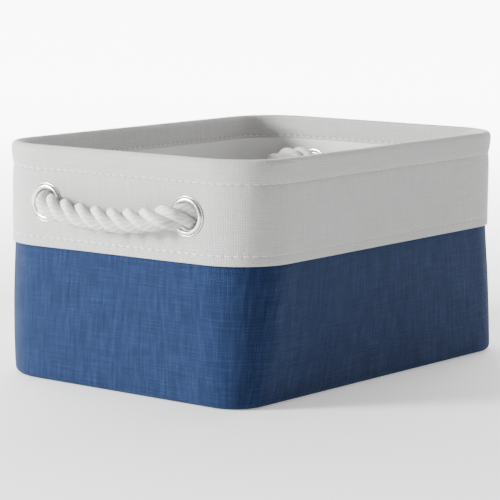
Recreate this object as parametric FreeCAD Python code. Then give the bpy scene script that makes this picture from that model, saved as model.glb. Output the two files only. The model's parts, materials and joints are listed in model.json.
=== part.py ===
"""Fabric storage bin: a soft box with a wire rim, a folded cotton band and two rope handles.

Frame: millimetres, origin at the middle of the underside, +X along the long side,
+Y along the short side, +Z up. The rope handles are on the two short ends, at -X and +X.
Depths are measured inwards from the outer face of the band, so a larger depth is nearer
the middle of the bin.
"""
import FreeCAD, Part

import math
import os

from FreeCAD import Vector

# Overall sizes
length = 300.0
width = 205.0
height = 150.0
rim_corner_radius = 38.0
base_corner_radius = 30.0

# Fabric layers
band_thickness = 1.2
wall_thickness = 1.2
lining_thickness = 0.7
facing_thickness = 0.8
bottom_edge_radius = 9.0
lining_edge_step = 3.0
layer_gap = 0.3
lining_gap = 0.5
stack_gap = 0.1
cut_over = 1.0

# Heights
band_height = 63.0
tuck_height = 10.0
casing_height = 16.0
hem_blend = 2.0

# Wire rim and the casing folded over it
wire_diameter = 4.0
wire_play = 0.1
casing_bulge = 0.8
casing_overlap = 2.0

# Base board
board_thickness = 2.5
board_clearance = 0.6

# Rope handles
rope_diameter = 15.4
rope_clearance = 1.4
rope_stand_off = 0.5
ball_clearance = 0.3
swing_clearance = 1.4
pull_travel = 12.0
knot_wrap = 8.8
tail_length = 31.0
tail_direction = (-0.50, 0.30, -0.81)

# Eyelets and washers
eyelet_flange = 3.9
eyelet_wall = 0.8
eyelet_dome = 1.7
eyelet_corner_gap = 10.5
eyelet_lift = 4.5
eyelet_clench = 1.2
clench_thickness = 0.6
washer_thickness = 1.0
washer_gap = 0.1
punch_clearance = 0.05

# Free rope between the two eyelets of one end: how far it stands out past the
# exit line, how far along from the end's middle as a share of half the spacing,
# and how far it hangs below the exit line
rope_route = [
    (0.0, 1.00, 0.0),
    (0.7, 0.61, -2.9),
    (1.3, 0.21, -5.1),
    (1.1, -0.20, -5.3),
    (0.5, -0.60, -3.3),
    (0.0, -1.00, 0.0),
]
ARC_SHARE = 0.45

# Worked out from the sizes above
wall_depth = band_thickness + layer_gap
lining_depth = wall_depth + wall_thickness + lining_gap
lining_edge_radius = bottom_edge_radius - lining_edge_step
casing_space = wire_diameter + 2 * wire_play
hollow_depth = band_thickness - casing_bulge
facing_depth = hollow_depth + casing_space
stack_depth = facing_depth + facing_thickness
band_bottom = height - band_height
wall_top = band_bottom + tuck_height
casing_bottom = height - casing_height
board_bottom = wall_thickness + stack_gap
board_top = board_bottom + board_thickness
lining_bottom_z = board_top + stack_gap
rope_radius = rope_diameter / 2
eyelet_bore = rope_radius + rope_clearance / 2
eyelet_rim = eyelet_bore + eyelet_flange
eyelet_height = (band_bottom + casing_bottom) / 2 + eyelet_lift
eyelet_half_spacing = width / 2 - rim_corner_radius - eyelet_corner_gap
washer_face_depth = stack_depth + washer_gap + washer_thickness
exit_stand_off = eyelet_dome + rope_radius + rope_stand_off
knot_radius = rope_radius + knot_wrap
knot_depth = washer_face_depth + pull_travel + knot_radius


def save(shape, name):
    """Writes one node's solids, in the shared frame."""
    if not shape.isValid():
        print("NOT VALID", name)
    shape.exportStep("parts/" + name + ".step")
    box = shape.BoundBox
    volume = round(shape.Volume)
    print(name, len(shape.Solids), "solid", volume, "mm3, z", round(box.ZMin, 2), round(box.ZMax, 2))


def outline(depth, corner_radius, z):
    """Rounded rectangle that lies a depth inside the bin's outer faces."""
    half_x = length / 2 - depth
    half_y = width / 2 - depth
    radius = corner_radius - depth
    slant = radius * math.sqrt(0.5)
    edges = []
    corners = [(1, 1), (-1, 1), (-1, -1), (1, -1)]
    previous_end = None
    first_start = None
    for sx, sy in corners:
        cx = sx * (half_x - radius)
        cy = sy * (half_y - radius)
        on_side = Vector(sx * half_x, cy, z)
        on_end = Vector(cx, sy * half_y, z)
        middle = Vector(cx + sx * slant, cy + sy * slant, z)
        start, end = (on_side, on_end) if sx * sy > 0 else (on_end, on_side)
        if previous_end is not None:
            edges.append(Part.LineSegment(previous_end, start).toShape())
        else:
            first_start = start
        edges.append(Part.Arc(start, middle, end).toShape())
        previous_end = end
    edges.append(Part.LineSegment(previous_end, first_start).toShape())
    return Part.Wire(edges)


def block(depth, z_low, z_high):
    """Upright block with the rim's corner radius."""
    face = Part.Face(outline(depth, rim_corner_radius, z_low))
    return face.extrude(Vector(0, 0, z_high - z_low))


def ring(depth, thickness, z_low, z_high):
    """Upright ring of one layer of fabric, with the rim's corner radius."""
    return block(depth, z_low, z_high).cut(block(depth + thickness, z_low, z_high))


def sack(depth, z_low, z_high, edge_radius):
    """Closed body of the lower walls: tighter corners at the floor, rounded bottom edge."""
    blend_z = band_bottom - hem_blend
    foot = outline(depth, base_corner_radius, z_low)
    shoulder = outline(depth, rim_corner_radius, blend_z)
    lower = Part.makeLoft([foot, shoulder], True, True)
    bottom_edges = [e for e in lower.Edges if e.BoundBox.ZMax < z_low + 0.01]
    lower = lower.makeFillet(edge_radius, bottom_edges)
    return lower.fuse(block(depth, blend_z, z_high))


def open_sack(depth, thickness, z_low, edge_radius):
    """Splits a thin sack into its wall and its bottom panel, which meet at the curl's foot."""
    outer = sack(depth, z_low, wall_top, edge_radius)
    inner_foot = z_low + thickness
    inner = sack(depth + thickness, inner_foot, wall_top + cut_over, edge_radius - thickness)
    shell = outer.cut(inner)
    panel_face = Part.Face(outline(depth + edge_radius, base_corner_radius, z_low - cut_over))
    core = panel_face.extrude(Vector(0, 0, thickness + 2 * cut_over))
    return shell.cut(core), shell.common(core)


def around_end(end, row, outward, along, up):
    """Point on one end: out from its face, along it towards its row, up from the eyelets."""
    return Vector(end * (length / 2 + outward), row * along, eyelet_height + up)


def turned(end, row, profile):
    """Revolves a closed (outward, radius) profile about an eyelet's axis."""
    centre = around_end(end, row, 0, eyelet_half_spacing, 0)
    points = [Vector(centre.x + end * u, centre.y, centre.z + r) for u, r in profile]
    face = Part.Face(Part.makePolygon(points + points[:1]))
    return face.revolve(centre, Vector(1, 0, 0), 360)


def eyelet(end, row):
    """Domed face ring, barrel through the fabric and clenched inner lip, in one piece."""
    bore = eyelet_bore
    rim = eyelet_rim
    barrel = bore + eyelet_wall
    lip = barrel + eyelet_clench
    back = -washer_face_depth
    centre = around_end(end, row, 0, eyelet_half_spacing, 0)

    def at(outward, radius):
        return Vector(centre.x + end * outward, centre.y, centre.z + radius)

    crown = (rim + bore) / 2
    dome = Part.Arc(at(0, rim), at(eyelet_dome, crown), at(0, bore)).toShape()
    rest = Part.makePolygon([
        at(0, bore),
        at(back - clench_thickness, bore),
        at(back - clench_thickness, lip),
        at(back, lip),
        at(back, barrel),
        at(0, barrel),
        at(0, rim),
    ])
    face = Part.Face(Part.Wire([dome] + rest.Edges))
    return face.revolve(centre, Vector(1, 0, 0), 360)


def washer(end, row):
    """Flat ring on the inside of the fabric, held by the eyelet's lip."""
    bore = eyelet_bore + eyelet_wall + punch_clearance
    rim = eyelet_rim
    front = -stack_depth - washer_gap
    back = -washer_face_depth
    return turned(end, row, [(front, bore), (front, rim), (back, rim), (back, bore)])


def punched(shape):
    """Cuts the four eyelet holes through one layer."""
    radius = eyelet_bore + eyelet_wall + punch_clearance
    reach = 4 * stack_depth
    for end in (-1, 1):
        for row in (-1, 1):
            start = around_end(end, row, reach / 2, eyelet_half_spacing, 0)
            hole = Part.makeCylinder(radius, reach, start, Vector(-end, 0, 0))
            shape = shape.cut(hole)
    return shape


def rounded_path(points):
    """Straight runs joined by tangent arcs, each as large as its two runs allow."""
    edges = []
    radii = []
    here = points[0]
    for i in range(1, len(points) - 1):
        back_way = points[i - 1] - points[i]
        next_way = points[i + 1] - points[i]
        cut = ARC_SHARE * min(back_way.Length, next_way.Length)
        turn = math.pi - back_way.getAngle(next_way)
        radii.append(cut / math.tan(turn / 2))
        back_way.normalize()
        next_way.normalize()
        start = points[i] + back_way * cut
        end = points[i] + next_way * cut
        bisector = back_way + next_way
        bisector.normalize()
        to_centre = radii[-1] / math.cos(turn / 2)
        middle = points[i] + bisector * (to_centre - radii[-1])
        edges.append(Part.LineSegment(here, start).toShape())
        edges.append(Part.Arc(start, middle, end).toShape())
        here = end
    edges.append(Part.LineSegment(here, points[-1]).toShape())
    return Part.Wire(edges), radii


def rope_grip(end):
    """Rope between the eyelets of one end, with a round turn where it enters each of them."""
    points = [
        around_end(end, 1, exit_stand_off + out, share * eyelet_half_spacing, up)
        for out, share, up in rope_route
    ]
    path, radii = rounded_path(points)
    first_way = points[1] - points[0]
    section = Part.Wire(Part.makeCircle(rope_radius, points[0], first_way))
    tube = path.makePipeShell([section], True, False)
    expected = math.pi * rope_radius ** 2 * path.Length
    print("rope radii", [round(r) for r in radii], "volume share", round(tube.Volume / expected, 4))
    for tip, way in ((points[0], points[0] - points[1]), (points[-1], points[-1] - points[-2])):
        tube = tube.fuse(Part.makeSphere(rope_radius, tip, way, 0, 90, 360))
    return tube


def knot(end, row):
    """Knot inside the bin, with the short tail that hangs from it."""
    centre = around_end(end, row, -knot_depth, eyelet_half_spacing, 0)
    inward, along, up = tail_direction
    way = Vector(end * inward, row * along, up).normalize()
    side = way.cross(Vector(0, 0, 1)).normalize()

    def at(down_tail, radius):
        return centre + way * down_tail + side * radius

    neck = math.sqrt(knot_radius ** 2 - rope_radius ** 2)
    ball = Part.Arc(at(-knot_radius, 0), at(0, knot_radius), at(neck, rope_radius)).toShape()
    tail = Part.makePolygon([
        at(neck, rope_radius),
        at(tail_length, rope_radius),
        at(tail_length, 0),
        at(-knot_radius, 0),
    ])
    return Part.Face(Part.Wire([ball] + tail.Edges)).revolve(centre, way, 360)


def rope_leg(end, row, knot_shape):
    """Rope through one eyelet, from its knot to the round turn outside."""
    exit_point = around_end(end, row, exit_stand_off, eyelet_half_spacing, 0)
    reach = exit_stand_off + knot_depth
    run = Part.makeCylinder(rope_radius, reach, exit_point, Vector(-end, 0, 0))
    seat = Part.makeSphere(rope_radius + ball_clearance, exit_point)
    swing_radius = rope_radius + swing_clearance
    swing_room = Part.makeCylinder(swing_radius, swing_radius, exit_point, Vector(0, -row, 0))
    return run.cut(seat).cut(swing_room).cut(knot_shape)


def band():
    """Cotton band outside, folded over the wire to make its casing."""
    outer_leg = ring(0, band_thickness, band_bottom, casing_bottom + casing_overlap)
    casing_width = casing_space + 2 * band_thickness
    casing = ring(-casing_bulge, casing_width, casing_bottom, height)
    round_over = casing_width / 2 - stack_gap
    top_edges = [e for e in casing.Edges if e.BoundBox.ZMin > height - 0.01]
    casing = casing.makeFillet(round_over, top_edges)
    hollow_top = height - band_thickness
    hollow = ring(hollow_depth, casing_space, casing_bottom, hollow_top)
    hollow_edges = [e for e in hollow.Edges if e.BoundBox.ZMin > hollow_top - 0.01]
    hollow = hollow.makeFillet(casing_space / 2 - stack_gap, hollow_edges)
    return punched(casing.cut(hollow).fuse(outer_leg))


def rim_wire():
    """Welded steel wire loop inside the casing."""
    depth = hollow_depth + casing_space / 2
    z = height - band_thickness - casing_space / 2
    path = outline(depth, rim_corner_radius, z)
    start = path.Edges[1].Vertexes[0].Point
    way = path.Edges[1].Vertexes[1].Point - start
    section = Part.Wire(Part.makeCircle(wire_diameter / 2, start, way))
    spine = Part.Wire(path.Edges[1:] + path.Edges[:1])
    return spine.makePipeShell([section], True, False)


os.makedirs("parts", exist_ok=True)

blue_wall, blue_bottom = open_sack(wall_depth, wall_thickness, 0, bottom_edge_radius)
save(blue_wall, "blue_wall")
save(blue_bottom, "blue_bottom")

board_depth = wall_depth + bottom_edge_radius - board_clearance
board_face = Part.Face(outline(board_depth, base_corner_radius, board_bottom))
save(board_face.extrude(Vector(0, 0, board_thickness)), "base_board")

lining_wall, lining_floor = open_sack(
    lining_depth, lining_thickness, lining_bottom_z, lining_edge_radius
)
save(lining_wall, "lining_wall")
save(lining_floor, "lining_bottom")

save(band(), "upper_band")
backing_depth = band_thickness + stack_gap
backing_thickness = facing_depth - stack_gap - backing_depth
backing = ring(backing_depth, backing_thickness, wall_top + 1, casing_bottom - stack_gap)
save(punched(backing), "band_backing")
facing = ring(facing_depth, facing_thickness, band_bottom, casing_bottom)
save(punched(facing), "upper_lining")
save(rim_wire(), "rim_wire")

for end, end_name in ((-1, "left"), (1, "right")):
    save(rope_grip(end), end_name + "_rope_grip")
    for row, row_name in ((-1, "front"), (1, "back")):
        place = end_name + "_" + row_name + "_"
        knot_shape = knot(end, row)
        save(eyelet(end, row), place + "eyelet")
        save(washer(end, row), place + "washer")
        save(knot_shape, place + "knot")
        save(rope_leg(end, row, knot_shape), place + "rope_leg")
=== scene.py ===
# %% [markdown]
# # A fabric storage bin
# A soft canvas box: blue walls, a white cotton band folded over a wire rim, a white
# lining, eyelets and two twisted rope handles. This lesson builds the cloth, the rope,
# the stitches and their finishes around the bin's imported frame. All sizes are in metres.

# %% Load the frame
import json
import math

import bmesh
import bpy
import numpy as np
from mathutils import Matrix, Vector


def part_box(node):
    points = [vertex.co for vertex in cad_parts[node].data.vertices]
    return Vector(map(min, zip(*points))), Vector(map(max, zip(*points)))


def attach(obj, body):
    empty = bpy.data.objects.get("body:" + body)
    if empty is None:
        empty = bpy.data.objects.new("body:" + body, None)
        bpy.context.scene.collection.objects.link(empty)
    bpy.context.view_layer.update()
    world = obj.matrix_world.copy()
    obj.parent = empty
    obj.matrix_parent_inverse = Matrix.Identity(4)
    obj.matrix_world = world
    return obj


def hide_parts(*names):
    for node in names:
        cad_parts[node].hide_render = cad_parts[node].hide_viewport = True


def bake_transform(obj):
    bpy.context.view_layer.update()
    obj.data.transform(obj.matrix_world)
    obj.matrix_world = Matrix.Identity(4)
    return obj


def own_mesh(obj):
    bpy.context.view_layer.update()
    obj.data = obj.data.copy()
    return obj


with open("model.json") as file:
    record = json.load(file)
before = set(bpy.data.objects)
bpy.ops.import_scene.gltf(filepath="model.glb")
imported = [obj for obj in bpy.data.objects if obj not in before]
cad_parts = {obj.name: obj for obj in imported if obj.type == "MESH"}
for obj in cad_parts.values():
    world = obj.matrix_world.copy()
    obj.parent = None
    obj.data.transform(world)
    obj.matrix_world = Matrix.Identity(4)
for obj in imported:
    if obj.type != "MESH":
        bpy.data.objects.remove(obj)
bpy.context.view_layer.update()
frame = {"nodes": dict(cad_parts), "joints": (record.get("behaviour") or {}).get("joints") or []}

# %% [markdown]
# Every place in the scene comes from the frame. The band, the walls and the eyelets each
# have a box, and the few sizes that a box can't give, such as corner radii, are named here.

# %% Sizes taken from the frame
MM = 0.001
CASING_BULGE = 0.8 * MM
RIM_CORNER = 38 * MM
BOTTOM_EDGE = 4 * MM
BAND_CLOTH = 1.2 * MM
WALL_CLOTH = 1.2 * MM
CASING_HEIGHT = 16 * MM
WIRE_PLAY = 0.1 * MM
HEM_STITCH = 6 * MM
CASING_STITCH = 1.5 * MM
STITCH_PITCH = 5.5 * MM
ROPE_DIAMETER = 15.4 * MM

band_low, band_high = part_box("upper_band")
half_x = band_high.x - CASING_BULGE
half_y = band_high.y - CASING_BULGE
top_z = band_high.z
band_z = band_low.z
casing_z = top_z - CASING_HEIGHT
wall_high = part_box("blue_wall")[1]
wall_depth = half_x - wall_high.x
lining_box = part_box("lining_wall")
lining_depth = half_x - lining_box[1].x
facing_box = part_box("upper_lining")
facing_depth = half_x - facing_box[1].x
wire_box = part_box("rim_wire")
wire_z = (wire_box[0].z + wire_box[1].z) / 2
wire_radius = (wire_box[1].z - wire_box[0].z) / 2
wire_depth = half_x - (wire_box[1].x - wire_radius)
print("half sizes", round(half_x, 4), round(half_y, 4))
print("rim", round(top_z, 4), "band from", round(band_z, 4))


# %% [markdown]
# All the cloth of the bin follows one outline, a rounded rectangle. A station is one place
# along it. Each station keeps which corner it belongs to and which way it faces, so the same
# station can be placed at any depth in the layers and at any height, and a patch of cloth is
# only stations times the points of its cross-section.

# %% Stations round the bin
STRAIGHT_STEP = 4 * MM
CORNER_STEPS = 16
CORNERS = [(-1, 1), (-1, -1), (1, -1), (1, 1)]
FOOT_CORNERS = [38 * MM, 24 * MM, 31 * MM, 32 * MM]


def make_stations():
    """Rows of (corner x and y, facing x and y, foot radius), from the middle of the back round."""
    steps_long = 2 * int(round((half_x - RIM_CORNER) / STRAIGHT_STEP))
    steps_short = 2 * int(round((half_y - RIM_CORNER) / STRAIGHT_STEP))
    middle_radius = (FOOT_CORNERS[0] + FOOT_CORNERS[3]) / 2
    rows = []
    for t in range(steps_long // 2):
        share = 2 * t / steps_long
        rows.append((-share, 1, 0, 1, middle_radius + (FOOT_CORNERS[0] - middle_radius) * share))
    for i, (cx, cy) in enumerate(CORNERS):
        start = math.radians(90 + 90 * i)
        for k in range(CORNER_STEPS):
            angle = start + math.radians(90) * k / CORNER_STEPS
            rows.append((cx, cy, math.cos(angle), math.sin(angle), FOOT_CORNERS[i]))
        nx, ny = CORNERS[(i + 1) % 4]
        steps = (steps_short, steps_long)[i % 2]
        goal = FOOT_CORNERS[(i + 1) % 4]
        if i == 3:
            steps //= 2
            nx = 0
            goal = middle_radius
        facing = (round(math.cos(start + math.pi / 2)), round(math.sin(start + math.pi / 2)))
        for k in range(steps):
            share = k / steps
            radius = FOOT_CORNERS[i] + (goal - FOOT_CORNERS[i]) * share
            rows.append((cx + (nx - cx) * share, cy + (ny - cy) * share, *facing, radius))
    return np.array(rows, float)


stations = make_stations()
print("stations", len(stations))


# %% [markdown]
# Cloth is never quite flat. A few long, low waves with fixed phases give every layer the
# same slight unevenness, so the layers never cross. The walls stand out a little between the
# band and the floor, and the box leans round a degree or two towards its foot, as a soft
# bin does once it has been handled.

# %% How the soft walls stand
WAVES = [(3, 1.1, 0.4), (5, 2.3, 2.1), (8, 0.7, 4.0), (13, 3.1, 1.2), (21, 2.0, 5.3)]
WAVE_HEIGHT = 0.28 * MM
CALM_RUN = 20 * MM
WALL_BULGE = 0.9 * MM
FOOT_TURN = math.radians(-2.3)
FOOT_LEAN = (7.8 * MM, 4.4 * MM)


def give(around, height):
    """How far the cloth stands out from its plain outline, at a share of the way round."""
    low = np.clip(height / band_z, 0, 1)
    total = np.zeros(np.broadcast(around, height).shape)
    for count, slope, phase in WAVES:
        turn = 2 * math.pi * count * around + phase + slope * 2 * height / top_z
        total = total + np.sin(turn) / math.sqrt(count)
    calm = 1 - 0.8 * np.clip((height - band_z) / CALM_RUN, 0, 1)
    foot = np.clip(height / (2 * BOTTOM_EDGE), 0, 1)
    return total * WAVE_HEIGHT * calm * foot + WALL_BULGE * np.sin(math.pi * low) * foot


def place(depths, heights, rows=stations):
    """Points for every station (first index) and cross-section point (second index)."""
    depths = np.asarray(depths, float)[None, :]
    heights = np.asarray(heights, float)[None, :]
    around = (np.arange(len(rows)) / len(rows))[:, None]
    blend = np.clip(heights / band_z, 0, 1)
    corner = rows[:, 4:5] + (RIM_CORNER - rows[:, 4:5]) * blend - depths
    out = give(around, heights)
    x = rows[:, 0:1] * (half_x - depths - corner) + rows[:, 2:3] * (corner + out)
    y = rows[:, 1:2] * (half_y - depths - corner) + rows[:, 3:4] * (corner + out)
    loose = (1 - blend) ** 1.2
    turn = FOOT_TURN * loose
    z = np.broadcast_to(heights, x.shape)
    turned_x = x * np.cos(turn) - y * np.sin(turn) + FOOT_LEAN[0] * loose
    turned_y = x * np.sin(turn) + y * np.cos(turn) + FOOT_LEAN[1] * loose
    return np.stack([turned_x, turned_y, z], -1)


print("corner check", place([0], [top_z])[0, 0])


# %% [markdown]
# A layer of cloth is drawn once, as the middle line of its cross-section, and given its
# thickness by moving that line to both sides. The two sides and rounded ends make a closed
# loop, which is swept round the stations. The UV map is in metres of cloth, so that a weave
# keeps its true size everywhere.

# %% Cloth from a cross-section
END_STEPS = 5
END_ROUND = 0.35


def smooth_line(points, spacing=1.6 * MM):
    """The same line with evenly spaced points."""
    points = np.asarray(points, float)
    runs = np.r_[0, np.cumsum(np.hypot(*np.diff(points, axis=0).T))]
    marks = np.linspace(0, runs[-1], max(2, int(round(runs[-1] / spacing)) + 1))
    return np.stack([np.interp(marks, runs, points[:, k]) for k in (0, 1)], -1)


def thick_loop(line, thickness):
    """Closed loop round a middle line, with its distance along the cloth."""
    ways = np.gradient(line, axis=0)
    ways /= np.hypot(*ways.T)[:, None]
    sides = np.stack([ways[:, 1], -ways[:, 0]], -1) * thickness / 2
    along = np.r_[0, np.cumsum(np.hypot(*np.diff(line, axis=0).T))]
    loop = [(*p, v) for p, v in zip(line - sides, along)]
    for k in range(1, END_STEPS):
        turn = math.pi * k / END_STEPS
        p = line[-1] - sides[-1] * math.cos(turn) + ways[-1] * thickness / 2 * END_ROUND * math.sin(turn)
        loop.append((*p, along[-1] + thickness / 2))
    loop += [(*p, v) for p, v in zip((line + sides)[::-1], along[::-1])]
    for k in range(1, END_STEPS):
        turn = math.pi * k / END_STEPS
        p = line[0] + sides[0] * math.cos(turn) - ways[0] * thickness / 2 * END_ROUND * math.sin(turn)
        loop.append((*p, -thickness / 2))
    return np.array(loop)


def tidy_faces(mesh):
    """Turns every face outwards."""
    work = bmesh.new()
    work.from_mesh(mesh)
    bmesh.ops.recalc_face_normals(work, faces=work.faces)
    work.to_mesh(mesh)
    work.free()


def finish_mesh(name, points, faces, uvs, material):
    """Mesh object with a UV map, smooth shading and one material."""
    mesh = bpy.data.meshes.new(name)
    mesh.from_pydata([tuple(p) for p in points], [], faces)
    layer = mesh.uv_layers.new(name="cloth")
    flat = [c for face_uv in uvs for corner in face_uv for c in corner]
    layer.data.foreach_set("uv", flat)
    mesh.shade_smooth()
    tidy_faces(mesh)
    piece = bpy.data.objects.new(name, mesh)
    bpy.context.scene.collection.objects.link(piece)
    piece.data.materials.append(material)
    return piece


def grid_faces(columns, rows, close_rows=True):
    """Quads and their corner places for a grid that closes along its columns."""
    faces, corners = [], []
    last = rows if close_rows else rows - 1
    for i in range(columns):
        for j in range(last):
            ring = [(i, j), (i + 1, j), (i + 1, j + 1), (i, j + 1)]
            faces.append([(a % columns) * rows + b % rows for a, b in ring])
            corners.append(ring)
    return faces, corners


def swept_cloth(name, line, thickness, material, spacing=1.6 * MM):
    """A closed layer of cloth all round the bin."""
    loop = thick_loop(smooth_line(line, spacing), thickness)
    points = place(loop[:, 0], loop[:, 1])
    middle = points.mean(axis=1)
    steps = np.linalg.norm(np.diff(np.r_[middle, middle[:1]], axis=0), axis=1)
    around = np.r_[0, np.cumsum(steps)]
    faces, corners = grid_faces(len(stations), len(loop))
    along = np.r_[loop[:, 2], loop[0, 2]]
    uvs = [[(around[a], along[b]) for a, b in ring] for ring in corners]
    piece = finish_mesh(name, points.reshape(-1, 3), faces, uvs, material)
    width = float(around[-1])
    length = float(loop[:, 2].max() - loop[:, 2].min())
    print(name, len(faces), "faces, cut", round(width, 3), "x", round(length, 3))
    return piece, (width, length)


# %% [markdown]
# ## Finishes
# Woven cloth reads as cloth because of three things: the raised yarns, the uneven colour of
# each yarn, and slubs, the thicker stretches that run along a yarn. A small helper adds
# nodes in one line each, and one function lays out a plain weave from the UV map in metres.

# %% Helpers for materials
def new_material(name):
    """Empty node material and its Principled shader."""
    material = bpy.data.materials.new(name)
    material.use_nodes = True
    tree = material.node_tree
    tree.nodes.clear()
    shader = tree.nodes.new("ShaderNodeBsdfPrincipled")
    out = tree.nodes.new("ShaderNodeOutputMaterial")
    tree.links.new(shader.outputs["BSDF"], out.inputs["Surface"])
    return material, tree, shader


def settle(shader, **values):
    """Plain values on the shader's own sockets, named with _ for a space."""
    for name, value in values.items():
        shader.inputs[name.replace("_", " ")].default_value = value


def connect(tree, socket, value):
    """Links an output to a socket, or sets a plain value on it."""
    if isinstance(value, bpy.types.NodeSocket):
        tree.links.new(value, socket)
    else:
        socket.default_value = value


def maths(tree, operation, a, b=0.0, clamp=False):
    """One Math node."""
    node = tree.nodes.new("ShaderNodeMath")
    node.operation = operation
    node.use_clamp = clamp
    connect(tree, node.inputs[0], a)
    connect(tree, node.inputs[1], b)
    return node.outputs[0]


def times(tree, a, b, clamp=False):
    """a times b."""
    return maths(tree, "MULTIPLY", a, b, clamp)


def plus(tree, a, b):
    """a plus b."""
    return maths(tree, "ADD", a, b)


def minus(tree, a, b, clamp=False):
    """a less b."""
    return maths(tree, "SUBTRACT", a, b, clamp)


def mapped(tree, vector, scale):
    """A vector stretched by a scale along each axis."""
    node = tree.nodes.new("ShaderNodeMapping")
    connect(tree, node.inputs["Vector"], vector)
    node.inputs["Scale"].default_value = scale
    return node.outputs["Vector"]


def noise(tree, vector, scale, detail=2.0, roughness=0.5):
    """Noise value at a scale."""
    node = tree.nodes.new("ShaderNodeTexNoise")
    connect(tree, node.inputs["Vector"], vector)
    node.inputs["Scale"].default_value = scale
    node.inputs["Detail"].default_value = detail
    node.inputs["Roughness"].default_value = roughness
    return node.outputs["Fac"]


def ramp(tree, value, stops):
    """Colour ramp with (position, colour) stops."""
    node = tree.nodes.new("ShaderNodeValToRGB")
    connect(tree, node.inputs["Fac"], value)
    elements = node.color_ramp.elements
    while len(elements) < len(stops):
        elements.new(0.5)
    for element, (position, colour) in zip(elements, stops):
        element.position = position
        element.color = (*colour, 1)
    return node.outputs["Color"]


def mixed(tree, factor, a, b, blend="MIX"):
    """Mix of two colours."""
    node = tree.nodes.new("ShaderNodeMix")
    node.data_type = "RGBA"
    node.blend_type = blend
    connect(tree, node.inputs["Factor"], factor)
    connect(tree, node.inputs[6], a)
    connect(tree, node.inputs[7], b)
    return node.outputs[2]


def uv_axes(tree, name="cloth"):
    """The UV map, and its two axes, in metres."""
    node = tree.nodes.new("ShaderNodeUVMap")
    node.uv_map = name
    split = tree.nodes.new("ShaderNodeSeparateXYZ")
    tree.links.new(node.outputs["UV"], split.inputs[0])
    return node.outputs["UV"], split.outputs["X"], split.outputs["Y"]


def bump(tree, shader, height, distance, strength=1.0):
    """Bump on the shader from a height that runs from 0 to 1."""
    node = tree.nodes.new("ShaderNodeBump")
    node.inputs["Strength"].default_value = strength
    node.inputs["Distance"].default_value = distance
    tree.links.new(height, node.inputs["Height"])
    tree.links.new(node.outputs["Normal"], shader.inputs["Normal"])


def weave(tree, uv, u, v, pitch):
    """Plain weave: height from 0 to 1, and a mask that is 1 where the upright yarn shows."""
    wobble = times(tree, minus(tree, noise(tree, uv, 0.12 / pitch, 2), 0.5), 0.55)
    cells = [plus(tree, times(tree, axis, math.pi / pitch), wobble) for axis in (u, v)]
    across = maths(tree, "SINE", cells[0])
    up = maths(tree, "SINE", cells[1])
    over = maths(tree, "GREATER_THAN", times(tree, across, up), 0.0)
    upright = maths(tree, "ABSOLUTE", across)
    level = maths(tree, "ABSOLUTE", up)
    swap = tree.nodes.new("ShaderNodeMix")
    connect(tree, swap.inputs["Factor"], over)
    connect(tree, swap.inputs[2], level)
    connect(tree, swap.inputs[3], upright)
    return swap.outputs[0], over


def yarn_streaks(tree, uv, pitch, upright):
    """Uneven tone along single yarns, upright or level."""
    fine, long = 1.0 / pitch, 0.035 / pitch
    scale = (fine, long, 1) if upright else (long, fine, 1)
    return noise(tree, mapped(tree, uv, scale), 1.0, 3, 0.65)


print("material helpers ready")

# %% [markdown]
# The white cotton is close-woven canvas. Its yarns are barely darker than each other, with
# soft slubs, so its look comes mostly from the weave's relief. The blue cloth is heathered:
# dark navy yarns with paler ones among them, uneven along their length, in both directions.

# %% Cloth finishes
WEAVE_PITCH = 0.95 * MM
PUCKER = 1.6


def canvas(name, dark, light, relief, slub=0.5, pitch=WEAVE_PITCH, seams=None):
    """Plain-woven cotton canvas with two close tones, painted shade in its weave's pits, and needle holes
    along its seams painted dark as shade.
    """
    material, tree, shader = new_material(name)
    uv, u, v = uv_axes(tree)
    height, over = weave(tree, uv, u, v, pitch)
    warp = yarn_streaks(tree, uv, pitch, True)
    weft = yarn_streaks(tree, uv, pitch, False)
    streak = mixed(tree, over, weft, warp)
    tone = ramp(tree, streak, [(0.3, dark), (0.7, light)])
    # Painted shade: the weave's low pits are darkened towards a deeper copy of the dark tone.
    pit_shade = times(tree, minus(tree, 1.0, height), 0.45)
    shade = mixed(tree, pit_shade, tone, (*[c * 0.55 for c in dark], 1))
    cloud = noise(tree, uv, 35.0, 3)
    shade = mixed(tree, times(tree, cloud, 0.10), shade, (*[c * 0.85 for c in dark], 1))
    slubs = plus(tree, times(tree, warp, slub), times(tree, weft, slub))
    total = plus(tree, height, slubs)
    if seams:
        hole_shade, pucker = seam_shade_and_pucker(tree, u, v, *seams)
        # Painted shade: the needle holes are darkened to near black, as the shade inside a hole.
        shade = mixed(tree, hole_shade, shade, (0.10, 0.095, 0.09, 1))
        total = minus(tree, total, times(tree, pucker, PUCKER))
    tree.links.new(shade, shader.inputs["Base Color"])
    rough = plus(tree, 0.82, times(tree, height, 0.1))
    tree.links.new(rough, shader.inputs["Roughness"])
    settle(shader, Specular_IOR_Level=0.25, Sheen_Weight=0.15, Sheen_Roughness=0.5)
    bump(tree, shader, total, relief)
    return material


def seam_shade_and_pucker(tree, u, v, turn_count, lines):
    """Painted shade of the needle holes at both ends of every stitch, and the pucker that each stitch pulls
    in.
    """
    cell = maths(tree, "FRACT", times(tree, u, turn_count))
    middle = maths(tree, "ABSOLUTE", minus(tree, cell, 0.5))
    off = None
    for line in lines:
        gap = maths(tree, "ABSOLUTE", minus(tree, v, line))
        off = gap if off is None else maths(tree, "MINIMUM", off, gap)
    end = maths(tree, "ABSOLUTE", minus(tree, middle, 0.36))
    near_end = minus(tree, 1.0, times(tree, end, 9.0), clamp=True)
    near_line = minus(tree, 1.0, times(tree, off, 1 / (0.75 * MM)), clamp=True)
    # Mask of the painted shade for the needle holes.
    hole_shade = times(tree, times(tree, near_end, near_line), 0.9, clamp=True)
    wide = minus(tree, 1.0, times(tree, off, 1 / (4 * MM)), clamp=True)
    wave = plus(tree, 0.35, times(tree, middle, 1.3))
    pucker = times(tree, times(tree, wide, wide), wave)
    return hole_shade, pucker


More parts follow.
